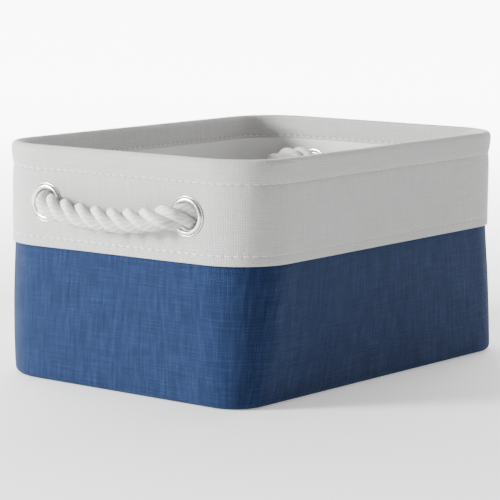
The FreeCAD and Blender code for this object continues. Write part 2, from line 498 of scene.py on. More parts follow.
def heather(name):
    """Blue canvas of dark and pale yarns, with painted shade in the weave's pits."""
    material, tree, shader = new_material(name)
    uv, u, v = uv_axes(tree)
    height, over = weave(tree, uv, u, v, WEAVE_PITCH)
    warp = yarn_streaks(tree, uv, WEAVE_PITCH, True)
    weft = yarn_streaks(tree, uv, WEAVE_PITCH * 1.1, False)
    coarse = noise(tree, mapped(tree, uv, (420, 45, 1)), 1.0, 2, 0.6)
    streak = mixed(tree, over, weft, warp)
    streak = mixed(tree, 0.35, streak, coarse)
    tone = ramp(tree, streak, [
        (0.30, (0.0036, 0.0090, 0.0330)),
        (0.50, (0.0095, 0.0240, 0.0760)),
        (0.72, (0.0280, 0.0550, 0.1400)),
    ])
    # Painted shade: the weave's low pits are darkened towards a deep navy.
    pit_shade = times(tree, minus(tree, 1.0, height), 0.45)
    shade = mixed(tree, pit_shade, tone, (0.0025, 0.007, 0.027, 1))
    tree.links.new(shade, shader.inputs["Base Color"])
    total = plus(tree, height, times(tree, plus(tree, warp, weft), 0.6))
    settle(shader, Roughness=0.85, Specular_IOR_Level=0.15, Sheen_Weight=0.08)
    settle(shader, Sheen_Roughness=0.4, Sheen_Tint=(0.40, 0.62, 1.0, 1))
    bump(tree, shader, total, 0.22 * MM)
    return material


outer_turn = 4 * (half_x + half_y) - 8 * RIM_CORNER + 2 * math.pi * RIM_CORNER
hem_v = HEM_STITCH - BAND_CLOTH / 2
stitch_v = casing_z + CASING_STITCH - band_z - BAND_CLOTH / 2
roll = wire_radius + WIRE_PLAY + BAND_CLOTH / 2
leg_v = stitch_v + (wire_z - casing_z - CASING_STITCH) * 2 + math.pi * roll
turn_count = round(outer_turn / STITCH_PITCH) / outer_turn
white_canvas = canvas(
    "white_canvas", (0.62, 0.615, 0.60), (0.84, 0.835, 0.82), 0.62 * MM,
    seams=(turn_count, (hem_v, stitch_v, leg_v)))
white_lining = canvas("white_lining", (0.74, 0.735, 0.725), (0.85, 0.845, 0.835), 0.10 * MM, 0.3, 0.6 * MM)
backing_cloth = canvas("backing_cloth", (0.60, 0.59, 0.56), (0.72, 0.71, 0.68), 0.2 * MM)
blue_canvas = heather("blue_canvas")
print("cloth finishes", [m.name for m in (white_canvas, white_lining, backing_cloth, blue_canvas)])

# %% [markdown]
# The rope's finish works in the rope's own map: u runs along each strand and v round it, so
# fine yarns can be drawn slanting across the strand. The metal is bright nickel with faint
# rubbing marks, and the thread is thin white cotton.

# %% Rope, thread, metal and board finishes
def rope_finish(name):
    """Soft cotton strands of many fine yarns."""
    material, tree, shader = new_material(name)
    uv, u, v = uv_axes(tree)
    wobble = times(tree, noise(tree, uv, 160.0, 2), 3.0)
    slant = plus(tree, times(tree, u, 2600.0), times(tree, v, 1900.0))
    yarns = maths(tree, "SINE", plus(tree, slant, wobble))
    fibres = noise(tree, mapped(tree, uv, (900, 2600, 1)), 1.0, 3, 0.6)
    height = plus(tree, times(tree, yarns, 0.22), fibres)
    # The colour follows the height. Part of it is random fibre tone, and part is painted shade in the low
    # grooves between the slanting yarns.
    tone = ramp(tree, height, [(0.2, (0.62, 0.61, 0.585)), (0.8, (0.86, 0.85, 0.825))])
    tree.links.new(tone, shader.inputs["Base Color"])
    settle(shader, Roughness=0.9, Specular_IOR_Level=0.2, Sheen_Weight=0.3, Sheen_Roughness=0.5)
    settle(shader, Subsurface_Weight=0.05, Subsurface_Radius=(0.003, 0.0025, 0.002))
    bump(tree, shader, height, 0.45 * MM)
    return material


def place_coordinates(tree):
    """Object coordinates, in metres."""
    return tree.nodes.new("ShaderNodeTexCoord").outputs["Object"]


def metal(name, dark, light, roughness, shade_lines=()):
    """Bright metal with faint rubbing marks, and painted shade as dark lines at set places along the
    profile.
    """
    material, tree, shader = new_material(name)
    spot = place_coordinates(tree)
    rubs = noise(tree, mapped(tree, spot, (1, 1, 4)), 300.0, 4)
    tone = ramp(tree, rubs, [(0.35, dark), (0.7, light)])
    along = uv_axes(tree)[2]
    # Painted shade: dark lines along the profile stand in for the shadows at the edge, in the valley and at
    # the barrel.
    for middle, reach in shade_lines:
        gap = maths(tree, "ABSOLUTE", minus(tree, along, middle))
        depth = minus(tree, 1.0, times(tree, gap, 1 / reach), clamp=True)
        tone = mixed(tree, depth, tone, (0.09, 0.09, 0.088, 1))
    tree.links.new(tone, shader.inputs["Base Color"])
    settle(shader, Metallic=1.0)
    spread = plus(tree, roughness, times(tree, rubs, 0.12))
    tree.links.new(spread, shader.inputs["Roughness"])
    bump(tree, shader, noise(tree, spot, 900.0, 2), 0.02 * MM)
    return material


def plain_fibre(name, dark, light, scale, relief):
    """Thread or board: two tones of fine noise."""
    material, tree, shader = new_material(name)
    spot = place_coordinates(tree)
    grain = noise(tree, spot, scale, 4, 0.6)
    tree.links.new(ramp(tree, grain, [(0.3, dark), (0.7, light)]), shader.inputs["Base Color"])
    settle(shader, Roughness=0.85, Specular_IOR_Level=0.25)
    bump(tree, shader, grain, relief)
    return material


cotton_rope = rope_finish("cotton_rope")
# Painted shade on the eyelet: dark lines at the outer edge, between the bead and the dome, and where the
# barrel starts.
PROFILE_SHADE_LINES = [(0.0, 0.06), (0.215, 0.12), (0.70, 0.06), (1.0, 0.05)]
eyelet_metal = metal("eyelet_metal", (0.72, 0.72, 0.71), (0.88, 0.88, 0.87), 0.16, PROFILE_SHADE_LINES)
washer_metal = metal("washer_metal", (0.70, 0.70, 0.69), (0.85, 0.85, 0.84), 0.2)
wire_steel = metal("wire_steel", (0.42, 0.42, 0.43), (0.60, 0.60, 0.61), 0.3)
thread_cotton = plain_fibre("thread_cotton", (0.76, 0.755, 0.74), (0.88, 0.875, 0.86), 2500.0, 0.05 * MM)
grey_board = plain_fibre("grey_board", (0.36, 0.31, 0.24), (0.50, 0.44, 0.34), 700.0, 0.08 * MM)
print("other finishes ready")

# %% [markdown]
# ## The band
# The white band is one strip of canvas. It starts at the hem, runs up the outside, rolls over
# the wire and comes down the inside to the casing's stitch line. The two stitch lines pull it
# in by a fraction of a millimetre, which is what makes the casing read as a roll.

# %% The band's cross-section
GROOVE = 0.38 * MM
hem_z = band_z + HEM_STITCH
stitch_z = casing_z + CASING_STITCH
half_cloth = BAND_CLOTH / 2


def band_line():
    """Middle line of the band: hem, outer leg, roll over the wire, inner leg."""
    line = []
    for z in np.arange(band_z + half_cloth * END_ROUND, wire_z, 0.8 * MM):
        rise = np.clip((z - stitch_z) / (wire_z - stitch_z), 0, 1)
        out = half_cloth - CASING_BULGE * math.sin(rise * math.pi / 2)
        pull = GROOVE * math.exp(-((z - stitch_z) / (1.3 * MM)) ** 2)
        pull += GROOVE * math.exp(-((z - stitch_z) / (5 * MM)) ** 2)
        pull += 0.6 * GROOVE * math.exp(-((z - hem_z) / (1.2 * MM)) ** 2)
        line.append((out + pull, z))
    for k in range(1, 12):
        turn = math.pi * k / 12
        line.append((wire_depth - roll * math.cos(turn), wire_z + roll * math.sin(turn)))
    inner = wire_depth + roll
    for z in np.linspace(wire_z, casing_z + half_cloth * END_ROUND, 16):
        pull = 0.5 * GROOVE * math.exp(-((z - stitch_z) / (2 * MM)) ** 2)
        line.append((inner - pull, z))
    return line


band_cloth, band_cut = swept_cloth("white_band_cloth", band_line(), BAND_CLOTH, white_canvas, 0.7 * MM)

# %% [markdown]
# Behind the band lies a soft backing, and behind that the upper lining. Below them the blue
# wall starts under the board, curls up at the bottom edge and ends behind the band. The white
# lining wall repeats the blue wall one layer further in.

# %% The other layers
STACK_GAP = 0.1 * MM


def wall_line(depth, foot_z, edge, top):
    """Middle line of a wall that starts flat and curls upwards."""
    line = [(depth + edge, foot_z)]
    for k in range(1, 13):
        turn = math.pi / 2 * k / 12
        line.append((depth + edge * (1 - math.sin(turn)), foot_z + edge * (1 - math.cos(turn))))
    line.append((depth, top))
    return line


backing_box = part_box("band_backing")
backing_depth = half_x - backing_box[1].x
backing_thick = facing_depth - STACK_GAP - backing_depth
backing_mid = backing_depth + backing_thick / 2
backing_line = [
    (backing_mid, backing_box[0].z + backing_thick / 2),
    (backing_mid, backing_box[1].z - backing_thick / 2),
]
backing, backing_cut = swept_cloth("band_backing_cloth", backing_line, backing_thick, backing_cloth, 2 * MM)

FACING_CLOTH = 0.8 * MM
facing_mid = facing_depth + FACING_CLOTH / 2
facing_top = facing_box[1].z - FACING_CLOTH / 2 * END_ROUND
facing_line = [(facing_mid, z) for z in (facing_box[0].z + FACING_CLOTH / 2, facing_top)]
facing, facing_cut = swept_cloth("upper_lining_cloth", facing_line, FACING_CLOTH, white_lining, 2 * MM)

blue_mid = wall_depth + WALL_CLOTH / 2
blue_line = wall_line(blue_mid, WALL_CLOTH / 2, BOTTOM_EDGE - WALL_CLOTH / 2, wall_high.z - WALL_CLOTH / 2)
blue_wall, blue_cut = swept_cloth("blue_wall_cloth", blue_line, WALL_CLOTH, blue_canvas)

LINING_CLOTH = 0.7 * MM
LINING_EDGE = 6 * MM
lining_mid = lining_depth + LINING_CLOTH / 2
lining_foot = lining_box[0].z + LINING_CLOTH / 2
lining_top = lining_box[1].z - LINING_CLOTH / 2
lining_line = wall_line(lining_mid, lining_foot, LINING_EDGE - LINING_CLOTH / 2, lining_top)
lining_wall, lining_cut = swept_cloth("lining_wall_cloth", lining_line, LINING_CLOTH, white_lining)

# %% [markdown]
# The bottom is a sandwich: blue cloth under a stiff board, and the white lining on top.
# Each is a flat rounded rectangle, drawn as rings that shrink towards the middle.

# %% Bottom panels
PANEL_RINGS = 24
BOARD_CLEARANCE = 0.6 * MM


def panel(name, depth, low, high, material):
    """Flat rounded rectangle with a thickness."""
    edge = place([depth], [0.0])[:, 0, :2]
    centre = edge.mean(axis=0)
    points, faces = [], []
    count = len(edge)
    rings = PANEL_RINGS
    shares = [1 - (k / rings) ** 1.3 for k in range(rings)]
    for z in (low, high):
        for share in shares:
            points += [(*(centre + (p - centre) * share), z) for p in edge]
        points.append((*centre, z))
    per_side = rings * count + 1
    for side in (0, 1):
        start = side * per_side
        for k in range(rings):
            for i in range(count):
                j = (i + 1) % count
                if k < rings - 1:
                    face = [start + k * count + i, start + k * count + j,
                            start + (k + 1) * count + j, start + (k + 1) * count + i]
                else:
                    face = [start + k * count + i, start + k * count + j, start + per_side - 1]
                faces.append(face)
    for i in range(count):
        j = (i + 1) % count
        faces.append([i, j, per_side + j, per_side + i])
    corners = [[(points[v][0], points[v][1]) for v in face] for face in faces]
    piece = finish_mesh(name, points, faces, corners, material)
    size = np.ptp(edge, axis=0)
    print(name, len(faces), "faces", size.round(3))
    return piece, (float(size[0]), float(size[1]))


blue_panel, blue_flat = panel("blue_bottom_cloth", wall_depth + BOTTOM_EDGE, 0.0, WALL_CLOTH, blue_canvas)
board_low, board_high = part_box("base_board")
board_depth = wall_depth + BOTTOM_EDGE - BOARD_CLEARANCE
board = panel("base_board_panel", board_depth, board_low.z, board_high.z, grey_board)[0]
floor_z = lining_box[0].z
lining_panel, lining_flat = panel(
    "lining_bottom_cloth", lining_depth + LINING_EDGE, floor_z, floor_z + LINING_CLOTH, white_lining)

# %% [markdown]
# ## Eyelets and washers
# Each eyelet is turned from one profile: a domed ring on the cloth, a barrel through it and a
# lip rolled over the washer behind. The same turning tool makes the washers.

# %% Turned metal
BORE_GAP = 0.7 * MM
FLANGE = 3.9 * MM
DOME = 1.7 * MM
BARREL = 0.8 * MM
WASHER = 1.0 * MM
PUNCH_GAP = 0.05 * MM
EDGE_BEAD = 1.0 * MM
FLANGE_SHEET = 0.3 * MM
TURN_STEPS = 96
bore = ROPE_DIAMETER / 2 + BORE_GAP
rim = bore + FLANGE
washer_back = half_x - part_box("right_front_washer")[0].x


def turned(name, centre, end, profile, material):
    """Closed ring turned about the outward axis from (outward, radius) points."""
    points = []
    rows = len(profile)
    for i in range(TURN_STEPS):
        angle = 2 * math.pi * i / TURN_STEPS
        for out, radius in profile:
            turned_out = Vector((end * out, radius * math.cos(angle), radius * math.sin(angle)))
            points.append(centre + turned_out)
    faces, rings = grid_faces(TURN_STEPS, rows)
    corners = [[(a / TURN_STEPS, b / rows) for a, b in ring] for ring in rings]
    return finish_mesh(name, points, faces, corners, material)


def eyelet_profile():
    """Edge bead, rolled dome, barrel and clenched lip."""
    profile = [(-0.05 * MM, rim - 0.45 * MM)]
    valley = rim - EDGE_BEAD
    for k in range(7):
        turn = math.pi * k / 7
        beaded = (rim + valley) / 2 + EDGE_BEAD / 2 * math.cos(turn)
        profile.append((FLANGE_SHEET + 0.55 * MM * math.sin(turn), beaded))
    crown, reach = (valley + bore) / 2, (valley - bore) / 2
    for k in range(17):
        turn = math.pi * k / 16
        lift = math.sin(turn) ** 0.8
        profile.append((FLANGE_SHEET + (DOME - FLANGE_SHEET) * lift, crown + reach * math.cos(turn)))
    back, outside = -washer_back, bore + BARREL
    profile += [(-1 * MM, bore), (back + 0.6 * MM, bore), (back - 0.2 * MM, bore + 0.12 * MM)]
    profile += [(back - 0.55 * MM, bore + 0.7 * MM), (back - 0.5 * MM, bore + 1.5 * MM)]
    profile += [(back - 0.03 * MM, bore + 1.9 * MM), (back - 0.02 * MM, outside)]
    profile += [(-1 * MM, outside), (-0.1 * MM, outside + 0.2 * MM)]
    return profile


def washer_profile():
    """Flat ring with softened edges."""
    front, back = -(washer_back - WASHER), -washer_back
    low, high = bore + BARREL + PUNCH_GAP, rim
    soft = 0.2 * MM
    fore = [(front, low), (front, high - soft), (front - soft, high)]
    return fore + [(back + soft, high), (back, high - soft), (back, low)]


def stand_for(piece, node, body):
    """The piece takes its node's place and moves with its body."""
    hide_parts(node)
    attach(piece, body)


ENDS = ((-1, "left"), (1, "right"))
ROWS = ((-1, "front"), (1, "back"))
eyelets = []
for end, end_name in ENDS:
    for row, row_name in ROWS:
        place_name = f"{end_name}_{row_name}"
        low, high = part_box(f"{place_name}_eyelet")
        centre = Vector((end * half_x, (low.y + high.y) / 2, (low.z + high.z) / 2))
        ring = turned(f"{place_name}_ring", centre, end, eyelet_profile(), eyelet_metal)
        stand_for(ring, f"{place_name}_eyelet", "rim")
        plate = turned(f"{place_name}_back_ring", centre, end, washer_profile(), washer_metal)
        stand_for(plate, f"{place_name}_washer", "rim")
        eyelets.append(centre)
half_spacing = abs(eyelets[0].y)
eyelet_z = eyelets[0].z
print("eyelets at", round(half_spacing, 4), round(eyelet_z, 4))

# %% [markdown]
# The three layers of the band are punched where the eyelets sit. A cylinder is cut from each
# cloth with an exact Boolean, and the cut mesh replaces the plain one.

# %% Punched holes
PUNCH = bore + BARREL + PUNCH_GAP
PUNCH_LENGTH = 30 * MM


def punch(piece):
    """Cuts the four eyelet holes."""
    tools = []
    for centre in eyelets:
        mesh = bpy.data.meshes.new("punch")
        work = bmesh.new()
        turn = Matrix.Translation(centre) @ Matrix.Rotation(math.pi / 2, 4, "Y")
        bmesh.ops.create_cone(
            work, cap_ends=True, segments=64, radius1=PUNCH, radius2=PUNCH, depth=PUNCH_LENGTH, matrix=turn)
        work.to_mesh(mesh)
        work.free()
        tool = bpy.data.objects.new("punch", mesh)
        bpy.context.scene.collection.objects.link(tool)
        cut = piece.modifiers.new("hole", "BOOLEAN")
        cut.operation = "DIFFERENCE"
        cut.solver = "EXACT"
        cut.object = tool
        tools.append(tool)
    bpy.context.view_layer.update()
    graph = bpy.context.evaluated_depsgraph_get()
    fresh = bpy.data.meshes.new_from_object(piece.evaluated_get(graph))
    piece.modifiers.clear()
    piece.data = fresh
    for tool in tools:
        bpy.data.objects.remove(tool)
    print(piece.name, "punched", len(fresh.polygons), "faces")


for cloth in (band_cloth, backing, facing):
    punch(cloth)

# %% [markdown]
# Now that the cloths are cut, each one stands for its imported node. The walls and bottoms ride on the
# base, and the band's layers on the rim. The two walls get meshes of their own.

# %% Bodies and replacements
for piece, node, body, slot, flat, held in (
    (band_cloth, "upper_band", "rim", "white_canvas", band_cut, "folded"),
    (backing, "band_backing", "rim", "backing_cloth", backing_cut, "stretched"),
    (facing, "upper_lining", "rim", "white_lining", facing_cut, "stretched"),
    (blue_wall, "blue_wall", "base", "blue_canvas", blue_cut, "stretched"),
    (lining_wall, "lining_wall", "base", "white_lining", lining_cut, "stretched"),
    (blue_panel, "blue_bottom", "base", "blue_canvas", blue_flat, "laid"),
    (lining_panel, "lining_bottom", "base", "white_lining", lining_flat, "laid"),
    (board, "base_board", "base", "board", None, None),
):
    stand_for(piece, node, body)
wire_node = frame["nodes"]["rim_wire"]
wire_node.data.materials.clear()
wire_node.data.materials.append(wire_steel)
for piece in (blue_wall, lining_wall):
    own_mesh(piece)

# %% [markdown]
# ## Rope handles
# A handle is one piece of three-strand rope. It is knotted inside, leaves through an eyelet,
# turns and hangs across the end of the bin, then goes back through the other eyelet to its
# second knot. Its route is a spline, and the strands follow points read from that spline.

# %% The route of each rope
ROPE_ROUTE = [
    (0.0, 1.00, 0.0),
    (0.7, 0.61, -2.9),
    (1.3, 0.21, -5.1),
    (1.1, -0.20, -5.3),
    (0.5, -0.60, -3.3),
    (0.0, -1.00, 0.0),
]
swing = next(j for j in frame["joints"] if j["name"] == "right_handle_swing")
EXIT_OUT = swing["pos_m"][0] - half_x
KNOT_MOUTH = 21 * MM
EYELET_TURN = [(-21.0, 0.0), (-12.0, 0.4), (-3.0, 0.6), (6.0, -2.4)]


def rope_route(end):
    """Control points from inside one eyelet, across the end, to inside the other."""
    points = [(EXIT_OUT + out * MM, share * half_spacing, up * MM) for out, share, up in ROPE_ROUTE[1:-1]]
    inner = [(out * MM, half_spacing + along * MM, 0.0) for out, along in EYELET_TURN]
    inner.append((EXIT_OUT, half_spacing - 10 * MM, -0.6 * MM))
    points = inner + points + [(x, -y, z) for x, y, z in reversed(inner)]
    return [(end * (half_x + x), y, eyelet_z + z) for x, y, z in points]


def spline_points(name, controls):
    """Closely spaced points along a smooth spline through its control polygon."""
    curve = bpy.data.curves.new(name, "CURVE")
    curve.dimensions = "3D"
    spline = curve.splines.new("NURBS")
    spline.points.add(len(controls) - 1)
    for point, place_at in zip(spline.points, controls):
        point.co = (*place_at, 1)
    spline.order_u = 3
    spline.use_endpoint_u = True
    spline.resolution_u = 24
    route = bpy.data.objects.new(name, curve)
    bpy.context.scene.collection.objects.link(route)
    bpy.context.view_layer.update()
    mesh = bpy.data.meshes.new_from_object(route)
    points = np.array([v.co for v in mesh.vertices])
    bpy.data.objects.remove(route)
    bpy.data.meshes.remove(mesh)
    return points


def evenly(points, spacing):
    """The same path with even steps."""
    runs = np.r_[0, np.cumsum(np.linalg.norm(np.diff(points, axis=0), axis=1))]
    marks = np.linspace(0, runs[-1], int(round(runs[-1] / spacing)) + 1)
    return np.stack([np.interp(marks, runs, points[:, k]) for k in range(3)], -1)


routes = {end: evenly(spline_points("rope_route", rope_route(end)), 1.1 * MM) for end in (-1, 1)}

# %% [markdown]
# Three soft strands fill a round rope, each pressed flat against its neighbours. The strands
# turn about the path once every lay length. A turning-free frame carries the cross-section
# along, so that the twist comes from the lay alone.

# %% Strands
LAY = 37.4 * MM
STRAND_SIDES = 22
STRAND_GAP = 0.10 * MM
CAP_RINGS = [(0.0, 1.0), (0.55, 0.85), (0.85, 0.5)]


def strand_section(radius):
    """One strand's outline in the rope's cross-section, with its flanks pressed flat."""
    size, offset = radius * 0.485, radius * 0.515
    slope = math.radians(60)
    outline = []
    for k in range(STRAND_SIDES):
        turn = 2 * math.pi * k / STRAND_SIDES
        x, y = offset + size * math.cos(turn), size * math.sin(turn)
        for side in (1, -1):
            inside = x * math.sin(slope) - side * y * math.cos(slope) - STRAND_GAP / 2
            if inside < 0:
                x -= inside * math.sin(slope)
                y += side * inside * math.cos(slope)
        outline.append((x, y))
    return outline


def frames(path):
    """Tangent and two sides at each point, carried along without turning."""
    ways = np.gradient(path, axis=0)
    ways /= np.linalg.norm(ways, axis=1)[:, None]
    side = np.cross(ways[0], (0.3, 0.2, 1.0))
    sides = []
    for way in ways:
        side = side - way * side.dot(way)
        side /= np.linalg.norm(side)
        sides.append(side)
    sides = np.array(sides)
    return ways, sides, np.cross(ways, sides)


def laid_rope(name, path, radii, material, start_turn=0.0, caps=(0.0, 0.0), pinch=None):
    """Three closed strands along a path, with caps that close in and a pinch for each ring."""
    ways, sides, ups = frames(path)
    pinch = np.zeros(len(path)) if pinch is None else pinch
    level = np.cross(ways, (0, 0, 1))
    level /= np.maximum(np.linalg.norm(level, axis=1), 0.001)[:, None]
    runs = np.r_[0, np.cumsum(np.linalg.norm(np.diff(path, axis=0), axis=1))]
    points, faces, corners = [], [], []
    rings = [(0, shrink, -push * caps[0]) for shrink, push in CAP_RINGS]
    rings += [(i, 1.0, 0.0) for i in range(len(path))]
    rings += [(len(path) - 1, shrink, push * caps[1]) for shrink, push in reversed(CAP_RINGS)]
    for strand in range(3):
        base = len(points)
        for i, shrink, push in rings:
            turn = start_turn + LAY_SIGN * 2 * math.pi * (runs[i] + push) / LAY + strand * 2 * math.pi / 3
            cosine, sine = math.cos(turn), math.sin(turn)
            outline = strand_section(radii[i])
            middle = (radii[i] * 0.5, 0.0)
            for x, y in outline:
                x, y = middle[0] + (x - middle[0]) * shrink, y * shrink
                across, rise = x * cosine - y * sine, x * sine + y * cosine
                offset = sides[i] * across + ups[i] * rise
                flat = level[i] * offset.dot(level[i])
                offset = offset - flat * PINCH_IN * pinch[i] + (offset - flat) * PINCH_OUT * pinch[i]
                points.append(path[i] + offset + ways[i] * push)
        rows = STRAND_SIDES
        last = len(rings) - 1
        for i in range(last):
            for j in range(rows):
                k = (j + 1) % rows
                here, ahead = base + i * rows, base + (i + 1) * rows
                faces.append([here + j, ahead + j, ahead + k, here + k])
                u0, u1 = runs[rings[i][0]] + rings[i][2], runs[rings[i + 1][0]] + rings[i + 1][2]
                v0, v1 = (j * radii[0] * math.pi / rows, (j + 1) * radii[0] * math.pi / rows)
                corners.append([(u0, v0), (u1, v0), (u1, v1), (u0, v1)])
    piece = finish_mesh(name, points, faces, corners, material)
    work = bmesh.new()
    work.from_mesh(piece.data)
    bmesh.ops.remove_doubles(work, verts=work.verts, dist=0.004 * MM)
    bmesh.ops.recalc_face_normals(work, faces=work.faces)
    work.to_mesh(piece.data)
    work.free()
    print(name, len(piece.data.polygons), "faces")
    return piece


LAY_SIGN = 1
PINCH_IN = 0.31
PINCH_OUT = 0.02
PINCH_RUN = 8 * MM
rope_radius = ROPE_DIAMETER / 2
print("strand outline", [tuple(round(c / MM, 2) for c in p) for p in strand_section(rope_radius)[:3]])

# %% [markdown]
# The knots are plain overhand knots. Each starts from a loose curve with three crossings.
# Shortening the curve while keeping its turns apart pulls the knot tight, just as a hand
# would, with one end held at the eyelet and the other at the tip of the tail.

# %% Pulling a knot tight
KNOT_ROPE = 11.6 * MM
KNOT_WRAP = 8.8 * MM
TAIL = Vector((0.50, 0.30, -0.81)).normalized()
TAIL_REACH = 29 * MM
PULLS = 500


def pulled_knot(centre, end, row):
    """Path of a tight overhand knot between the eyelet and the tail's tip."""
    inward = np.array([-end, 0.0, 0.0])
    lift = np.array([0.0, 0.0, 1.0])
    along = np.array([0.0, row * 1.0, 0.0])
    t = np.linspace(-2.02, 2.02, 90)
    loose = ((t ** 5 - 10 * t) * 1.35 * MM)[:, None] * inward
    loose = loose + ((t ** 4 - 4 * t ** 2 + 1.6) * 3.4 * MM)[:, None] * lift
    loose = loose + ((t ** 3 - 3 * t) * 6.0 * MM)[:, None] * along
    middle = np.array(centre)
    mouth = middle - inward * (half_x - KNOT_MOUTH - abs(centre[0]))
    tip = middle + np.array([-end * TAIL.x, row * TAIL.y, TAIL.z]) * TAIL_REACH
    path = np.vstack([mouth, mouth + inward * 2 * MM, loose + middle, tip])
    path = evenly(path, 2.2 * MM)
    for pull in range(PULLS):
        path[2:-1] += 0.32 * ((path[1:-2] + path[3:]) / 2 - path[2:-1])
        apart = path[:, None] - path[None]
        gaps = np.linalg.norm(apart, axis=-1) + np.eye(len(path))
        order = np.abs(np.subtract.outer(range(len(path)), range(len(path))))
        near = (gaps < KNOT_ROPE) & (order > 9)
        push = np.where(near, (KNOT_ROPE - gaps) / gaps * 0.25, 0.0)[..., None] * apart
        share = np.maximum(near.sum(axis=1), 1) ** 0.5
        path[2:-1] += (push.sum(axis=1) / share[:, None])[2:-1]
        if pull % 20 == 19:
            path = evenly(path, 2.2 * MM)
            path[1] = mouth + inward * 2.2 * MM
    print("knot spans", (np.ptp(path, axis=0) / MM).round(1), "points", len(path))
    return evenly(path, 1.1 * MM)


knot_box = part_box("right_front_knot")
knot_x = knot_box[1].x - (rope_radius + KNOT_WRAP)
print("knot centre x", round(knot_x, 4))

# %% [markdown]
# A rope that is squeezed thins where it is knotted and swells again at its cut end. The knots ride on the
# body of the rope's ends.

# %% Handles and knots
ROPE_START = 0.35
KNOT_START = 1.2


def knotted_thickness(count):
    """Share of the rope's radius along a knot: slimmer where pulled, fuller at the tail."""
    share = np.linspace(0, 1, count)
    return 1 - 0.19 * np.clip(share / 0.12, 0, 1) + 0.15 * np.clip((share - 0.82) / 0.14, 0, 1)


for end, end_name in ENDS:
    path = routes[end]
    off_ring = np.abs(np.abs(path[:, 0]) - half_x - 3 * MM)
    off_ring = off_ring + np.abs(np.abs(path[:, 1]) - half_spacing + 2 * MM)
    pinch = np.exp(-(off_ring / PINCH_RUN) ** 2)
    radii = np.full(len(path), rope_radius)
    name = f"{end_name}_handle_rope"
    rope = laid_rope(name, path, radii, cotton_rope, ROPE_START, (2 * MM, 2 * MM), pinch)
    for row, row_name in ROWS:
        course = pulled_knot((end * knot_x, row * half_spacing, eyelet_z), end, row)
        radii = rope_radius * knotted_thickness(len(course))
        name = f"{end_name}_{row_name}_rope_knot"
        tied = laid_rope(name, course, radii, cotton_rope, KNOT_START, (2 * MM, 3 * MM))
        stand_for(tied, f"{end_name}_{row_name}_knot", f"{end_name}_rope_ends")
    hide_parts(f"{end_name}_rope_grip", f"{end_name}_front_rope_leg", f"{end_name}_back_rope_leg")
    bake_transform(rope)

# %% [markdown]
# ## Stitches
# Three rows of white thread run round the rim: the hem, the casing outside and the casing
# inside. One point is set for each stitch. A Geometry Nodes group then puts a bent thread on
# every point, turned along the row and with its ends dipping into the cloth.

# %% The stitch group
STITCH_SIZES = [
    ("Stitch length", 3.8 * MM),
    ("Thread radius", 0.38 * MM),
    ("Dip", 0.5 * MM),
    ("Rise", 0.72 * MM),
    ("Tilt", 0.12),
]


def stitch_group():
    """Node group: one thread loop for each point of a row."""
    group = bpy.data.node_groups.new("stitch_row", "GeometryNodeTree")
    face = group.interface
    face.new_socket(name="Row", in_out="INPUT", socket_type="NodeSocketGeometry")
    for name, value in STITCH_SIZES:
        face.new_socket(name=name, in_out="INPUT", socket_type="NodeSocketFloat").default_value = value
    face.new_socket(name="Seed", in_out="INPUT", socket_type="NodeSocketInt").default_value = 3
    face.new_socket(name="Thread", in_out="INPUT", socket_type="NodeSocketMaterial")
    face.new_socket(name="Stitches", in_out="OUTPUT", socket_type="NodeSocketGeometry")
    new, link = group.nodes.new, group.links.new
    given, result = new("NodeGroupInput"), new("NodeGroupOutput")

    def vector(x, y, z):
        node = new("ShaderNodeCombineXYZ")
        for socket, value in zip(node.inputs, (x, y, z)):
            connect(group, socket, value)
        return node.outputs[0]

    def scaled(value, factor):
        node = new("ShaderNodeMath")
        node.operation = "MULTIPLY"
        connect(group, node.inputs[0], value)
        node.inputs[1].default_value = factor
        return node.outputs[0]

    arc = new("GeometryNodeCurveQuadraticBezier")
    arc.inputs["Resolution"].default_value = 8
    length, dip = given.outputs["Stitch length"], given.outputs["Dip"]
    link(vector(scaled(length, -0.5), 0.0, scaled(dip, -1.0)), arc.inputs["Start"])
    link(vector(0.0, 0.0, given.outputs["Rise"]), arc.inputs["Middle"])
    link(vector(scaled(length, 0.5), 0.0, scaled(dip, -1.0)), arc.inputs["End"])
    ring = new("GeometryNodeCurvePrimitiveCircle")
    ring.inputs["Resolution"].default_value = 8
    link(given.outputs["Thread radius"], ring.inputs["Radius"])
    thread = new("GeometryNodeCurveToMesh")
    thread.inputs["Fill Caps"].default_value = True
    link(arc.outputs["Curve"], thread.inputs["Curve"])
    link(ring.outputs["Curve"], thread.inputs["Profile Curve"])
    turn = new("FunctionNodeAxesToRotation")
    for name, socket in (("along", "Primary Axis"), ("outward", "Secondary Axis")):
        read = new("GeometryNodeInputNamedAttribute")
        read.data_type = "FLOAT_VECTOR"
        read.inputs["Name"].default_value = name
        link(read.outputs["Attribute"], turn.inputs[socket])
    turn.primary_axis, turn.secondary_axis = "X", "Z"
    chance = new("FunctionNodeRandomValue")
    chance.data_type = "FLOAT"
    link(scaled(given.outputs["Tilt"], -1.0), chance.inputs[2])
    link(given.outputs["Tilt"], chance.inputs[3])
    link(given.outputs["Seed"], chance.inputs["Seed"])
    lean = new("FunctionNodeAxisAngleToRotation")
    lean.inputs["Axis"].default_value = (0, 0, 1)
    link(chance.outputs[1], lean.inputs["Angle"])
    both = new("FunctionNodeRotateRotation")
    both.rotation_space = "LOCAL"
    link(turn.outputs["Rotation"], both.inputs["Rotation"])
    link(lean.outputs["Rotation"], both.inputs["Rotate By"])
    spread = new("GeometryNodeInstanceOnPoints")
    link(given.outputs["Row"], spread.inputs["Points"])
    link(thread.outputs["Mesh"], spread.inputs["Instance"])
    link(both.outputs["Rotation"], spread.inputs["Rotation"])
    real = new("GeometryNodeRealizeInstances")
    link(spread.outputs["Instances"], real.inputs["Geometry"])
    paint = new("GeometryNodeSetMaterial")
    link(real.outputs["Geometry"], paint.inputs["Geometry"])
    link(given.outputs["Thread"], paint.inputs["Material"])
    link(paint.outputs["Geometry"], result.inputs["Stitches"])
    return group


row_group = stitch_group()
print("stitch group inputs", [item.name for item in row_group.interface.items_tree])

